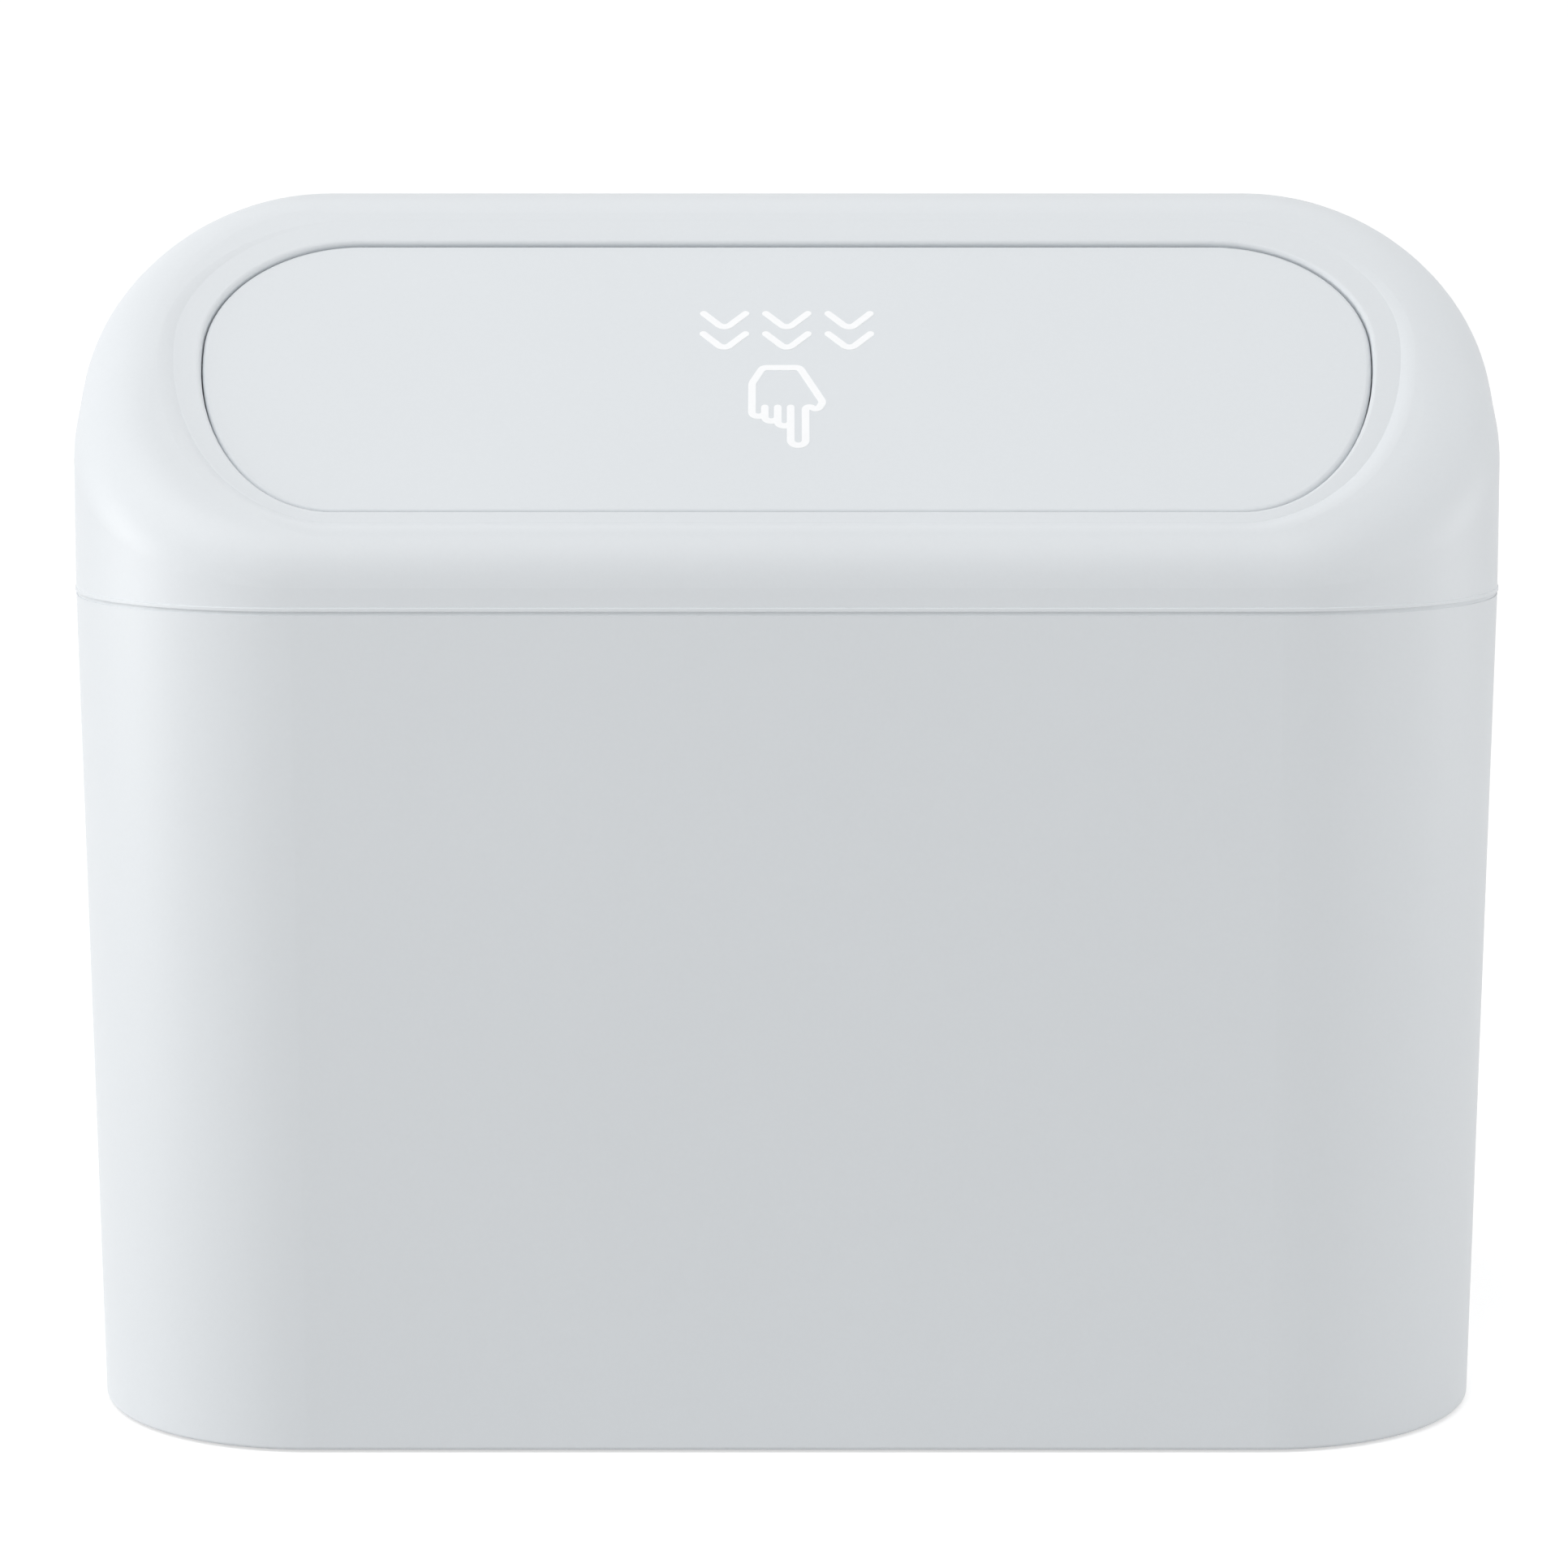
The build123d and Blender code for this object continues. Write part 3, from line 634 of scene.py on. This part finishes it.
class CARBIN_OT_steel_parts(bpy.types.Operator):
    """Finish the pivot pins and all the screws in bright steel"""

    bl_idname = "carbin.steel_parts"
    bl_label = "Pins and Screws"

    def execute(self, context):
        colour = context.scene.carbin_finish.steel_colour
        pins = drawn_steel("pin_steel", colour, roughness=0.26, streaks=0.12)
        dress(pins, "pivot_pin_left", "pivot_pin_right")
        screws = drawn_steel("screw_steel", colour, roughness=0.34, streaks=0.25)
        dress(screws, "liner_screws", "bracket_screws", "rail_screws")
        return {"FINISHED"}


class CARBIN_OT_soft_parts(bpy.types.Operator):
    """Finish the stop pads and rear bumpers in soft rubber"""

    bl_idname = "carbin.soft_parts"
    bl_label = "Pads and Bumpers"

    def execute(self, context):
        material = soft_rubber("pad_rubber", context.scene.carbin_finish.pad_colour)
        dress(material, "stop_pads", "rear_bumper_left", "rear_bumper_right")
        return {"FINISHED"}


class CARBIN_OT_base_tread(bpy.types.Operator):
    """Make the anti-slip pad under the base, with its ribbed tread"""

    bl_idname = "carbin.base_tread"
    bl_label = "Base Tread"

    def execute(self, context):
        tread = context.scene.carbin_tread
        low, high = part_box("base_pad")
        width, depth = high.x - low.x, high.y - low.y
        corner = (depth - tread.end_flat) / 2
        profile = [(0.0, high.z), (0.0, low.z + tread.edge), (tread.edge, low.z)]
        flank = tread.flank * tread.groove
        roof = low.z + tread.depth
        inset = tread.rib
        while inset + tread.groove + tread.rib < corner:
            far = inset + tread.groove
            profile += [(inset, low.z), (inset + flank, roof), (far - flank, roof), (far, low.z)]
            inset = far + tread.rib
        form = bmesh.new()
        loops = []
        for step, level in profile:
            points = stadium(width - 2 * step, depth - 2 * step, corner - step)
            loops.append([form.verts.new((p.x, p.y, level)) for p in points])
        for first, second in zip(loops, loops[1:]):
            for index in range(len(first)):
                after = (index + 1) % len(first)
                form.faces.new((first[index], first[after], second[after], second[index]))
        form.faces.new(loops[0])
        form.faces.new(loops[-1])
        material = soft_rubber("pad_rubber", context.scene.carbin_finish.pad_colour)
        piece = new_piece("base_tread", form, material, "bin")
        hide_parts("base_pad")
        return {"FINISHED"}


class CARBIN_OT_return_springs(bpy.types.Operator):
    """Wind the two return springs"""

    bl_idname = "carbin.return_springs"
    bl_label = "Return Springs"

    def execute(self, context):
        spring = context.scene.carbin_springs
        colour = context.scene.carbin_finish.steel_colour
        material = drawn_steel("spring_steel", colour, roughness=0.3, streaks=0.3)
        pivot = joint_place("flap_swing")
        up, out = flap_frame()[2:]
        total = int(spring.turns * COIL_STEPS)
        run = spring.turns * spring.pitch

        def place(sign, x, y, z):
            return Vector((sign * x, pivot.y, pivot.z)) + up * y + out * z

        for side, sign in (("left", -1), ("right", 1)):
            low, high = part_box("return_spring_" + side)
            inner_x = (low.x if sign > 0 else -high.x) + spring.wire / 2
            points = [place(sign, inner_x, -spring.leg / part, spring.radius) for part in (1, 2)]
            for index in range(total + 1):
                angle = pi / 2 - 2 * pi * index / COIL_STEPS
                x = inner_x + run * index / total
                points.append(place(sign, x, spring.radius * cos(angle), spring.radius * sin(angle)))
            last = inner_x + run
            points.append(place(sign, last, spring.radius, -spring.hook / 2))
            points.append(place(sign, last, spring.radius, -spring.hook))
            coil = tube(points, spring.wire / 2)
            piece = new_piece("spring_coil_" + side, coil, material)
            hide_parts("return_spring_" + side)
            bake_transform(piece)
        return {"FINISHED"}


def print_on_flap(name, lines):
    """Printed lines, as rows of (x, y, radius) corners from the flap's middle, y up the slope.

    Each line's ink is a little thinner than the last one's, so that crossing lines share no plane.
    """
    marks = bpy.context.scene.carbin_marks
    middle, right, up, out = flap_frame()

    def place(x, y, height):
        return middle + right * x + up * y + out * height

    form = bmesh.new()
    for index, corners in enumerate(lines):
        height = marks.film * (1 - INK_THINNING * index / len(lines))
        add_stroke(form, rounded_path(corners), marks.stroke, place, -marks.film, height)
    ink = printed_ink("print_ink", bpy.context.scene.carbin_finish.ink_colour)
    return new_piece(name, form, ink, "push_flap", smooth=False)


class CARBIN_OT_arrowheads(bpy.types.Operator):
    """Print rows of arrowheads on the flap, over the hand"""

    bl_idname = "carbin.arrowheads"
    bl_label = "Printed Arrowheads"

    def execute(self, context):
        marks = context.scene.carbin_marks
        half, rise = marks.arrow_width / 2, marks.arrow_height / 2
        lines = []
        for row in range(marks.arrow_rows):
            y = marks.arrow_rise + (row - (marks.arrow_rows - 1) / 2) * marks.arrow_step
            for index in range(marks.arrow_count):
                x = (index - (marks.arrow_count - 1) / 2) * marks.arrow_pitch
                start, end = (x - half, y + rise, 0), (x + half, y + rise, 0)
                lines.append([start, (x, y - rise, marks.stroke), end])
        print_on_flap("printed_arrowheads", lines)
        return {"FINISHED"}


class CARBIN_OT_pointing_hand(bpy.types.Operator):
    """Print the outline of a pointing hand on the flap"""

    bl_idname = "carbin.pointing_hand"
    bl_label = "Printed Hand"

    def execute(self, context):
        marks = context.scene.carbin_marks
        # The hand is about ten units wide, and y is 0 at the top of the wrist. First comes the outline
        # from the little finger over the wrist and thumb to the pointing finger, then the curled ones
        outline = [
            (-4.6, -8.0, 0), (-4.6, -3.0, 1.6), (-3.2, 0.0, 0.8), (1.7, 0.0, 0.8), (4.75, -6.6, 0.9),
            (4.0, -8.2, 0.6), (2.45, -7.0, 0.52), (2.45, -14.75, 0.95), (0.5, -14.75, 0.95),
            (0.5, -7.6, 0),
        ]
        lines = [outline]
        for left, right, bottom in ((-4.6, -2.9, -9.3), (-2.9, -1.2, -10.2), (-1.2, 0.5, -11.1)):
            lines.append([(left, -8.0, 0), (left, bottom, 0.8), (right, bottom, 0.8), (right, -7.6, 0)])
        unit = marks.hand_width / HAND_UNITS
        top = marks.hand_rise
        sized = [[(x * unit, y * unit + top, radius * unit) for x, y, radius in line] for line in lines]
        print_on_flap("printed_hand", sized)
        return {"FINISHED"}


def seen_directly(tree, place):
    """1 for what the camera sees, straight, reflected or through glass, and 0 for light on things."""
    path = new_node(tree, "ShaderNodeLightPath", place)
    x, y = place
    rays = [path.outputs[kind] for kind in ("Is Camera Ray", "Is Glossy Ray", "Is Transmission Ray")]
    seen = maths(tree, "MAXIMUM", rays[0], rays[1], (x + 250, y))
    return maths(tree, "MAXIMUM", seen, rays[2], (x + 400, y))


def backdrop_material(stage):
    """Pale sheet that reads as white to the camera and still takes the object's shadow."""
    material, tree, shader = new_material("backdrop_sheet")
    tone = place_group(
        tree, "Mould tone", (-600, 200), color=stage.floor_colour, clouds=0.005, specks=0.0
    )
    link(tree, tone.outputs["Color"], shader.inputs["Base Color"])
    shader.inputs["Roughness"].default_value = 0.9
    shader.inputs["Specular IOR Level"].default_value = 0.1
    seen = seen_directly(tree, (-900, -300))
    strength = maths(tree, "MULTIPLY", seen, stage.glow, (-300, -300))
    link(tree, strength, shader.inputs["Emission Strength"])
    shader.inputs["Emission Color"].default_value = (1, 1, 1, 1)
    return material


def sky_world(stage):
    """Even light all round, seen as plain white by the camera and in reflections."""
    world = bpy.data.worlds.new("studio_sky")
    bpy.context.scene.world = world
    world.use_nodes = True
    tree = world.node_tree
    background = tree.nodes["Background"]
    background.inputs["Color"].default_value = (1, 1, 1, 1)
    seen = seen_directly(tree, (-900, 0))
    extra = maths(tree, "MULTIPLY", seen, 1.0 - stage.sky, (-300, 0))
    link(tree, maths(tree, "ADD", extra, stage.sky, (-150, 0)), background.inputs["Strength"])


def add_lamp(name, place, power, width, height):
    """Rectangular lamp that points at the middle of the bin."""
    lamp = bpy.data.lights.new(name, "AREA")
    lamp.shape = "RECTANGLE"
    lamp.size, lamp.size_y = width, height
    lamp.energy = power
    holder = bpy.data.objects.new(name, lamp)
    bpy.context.scene.collection.objects.link(holder)
    holder.location = place
    aim = LAMP_TARGET - Vector(place)
    holder.rotation_euler = aim.to_track_quat("-Z", "Y").to_euler()


def make_backdrop(stage):
    """Floor that sweeps up into a back wall, as one curved sheet."""
    form = bmesh.new()
    sweep_start = WALL_BACK - SWEEP_RADIUS
    profile = [(FLOOR_FRONT, 0.0), (sweep_start, 0.0)]
    for step in range(1, SWEEP_STEPS + 1):
        angle = step / SWEEP_STEPS * pi / 2
        z = SWEEP_RADIUS - SWEEP_RADIUS * cos(angle)
        profile.append((sweep_start + SWEEP_RADIUS * sin(angle), z))
    profile.append((WALL_BACK, WALL_HEIGHT))
    rows = [[form.verts.new((side * HALF_WIDTH, y, z)) for side in (-1, 1)] for y, z in profile]
    for first, second in zip(rows, rows[1:]):
        form.faces.new((first[0], first[1], second[1], second[0]))
    piece = new_piece("backdrop", form, backdrop_material(stage))


class CARBIN_OT_stage(bpy.types.Operator):
    """Set up the camera, the lamps, the sky and the backdrop"""

    bl_idname = "carbin.stage"
    bl_label = "Stage"

    def execute(self, context):
        stage = context.scene.carbin_stage
        context.scene.view_settings.view_transform = "Standard"
        camera = bpy.data.cameras.new("photo_camera")
        camera.lens = CAMERA_LENS
        camera.sensor_width = SENSOR_WIDTH
        holder = bpy.data.objects.new("photo_camera", camera)
        context.scene.collection.objects.link(holder)
        holder.location = (CAMERA_SIDE, -CAMERA_DISTANCE, CAMERA_RAISE)
        holder.rotation_euler = (pi / 2 - CAMERA_TILT, 0, 0)
        context.scene.camera = holder
        make_backdrop(stage)
        sky_world(stage)
        for name, place, width, height in LAMPS:
            add_lamp(name + "_lamp", place, getattr(stage, name), width, height)
        return {"FINISHED"}


PIECES = (
    CARBIN_OT_bucket, CARBIN_OT_lid_frame, CARBIN_OT_flap, CARBIN_OT_inner_parts,
    CARBIN_OT_steel_parts, CARBIN_OT_soft_parts, CARBIN_OT_base_tread, CARBIN_OT_return_springs,
    CARBIN_OT_arrowheads, CARBIN_OT_pointing_hand, CARBIN_OT_stage,
)


class CARBIN_PT_panel(bpy.types.Panel):
    """Lists the operators and the settings of the car bin"""

    bl_idname = "CARBIN_PT_panel"
    bl_label = "Car Bin"
    bl_space_type = "VIEW_3D"
    bl_region_type = "UI"
    bl_category = "Car Bin"

    def draw(self, context):
        for piece in PIECES:
            self.layout.operator(piece.bl_idname)
        for attribute, group in SETTINGS.items():
            box = self.layout.box()
            for name in group.__annotations__:
                box.prop(getattr(context.scene, attribute), name)


def register():
    for cls in (*SETTINGS.values(), *PIECES, CARBIN_PT_panel):
        bpy.utils.register_class(cls)
    for attribute, group in SETTINGS.items():
        setattr(bpy.types.Scene, attribute, PointerProperty(type=group))


def unregister():
    for attribute in SETTINGS:
        delattr(bpy.types.Scene, attribute)
    for cls in reversed((*SETTINGS.values(), *PIECES, CARBIN_PT_panel)):
        bpy.utils.unregister_class(cls)


def main():
    register()
    for piece in PIECES:
        category, name = piece.bl_idname.split(".")
        getattr(getattr(bpy.ops, category), name)()


if __name__ == "__main__":
    main()
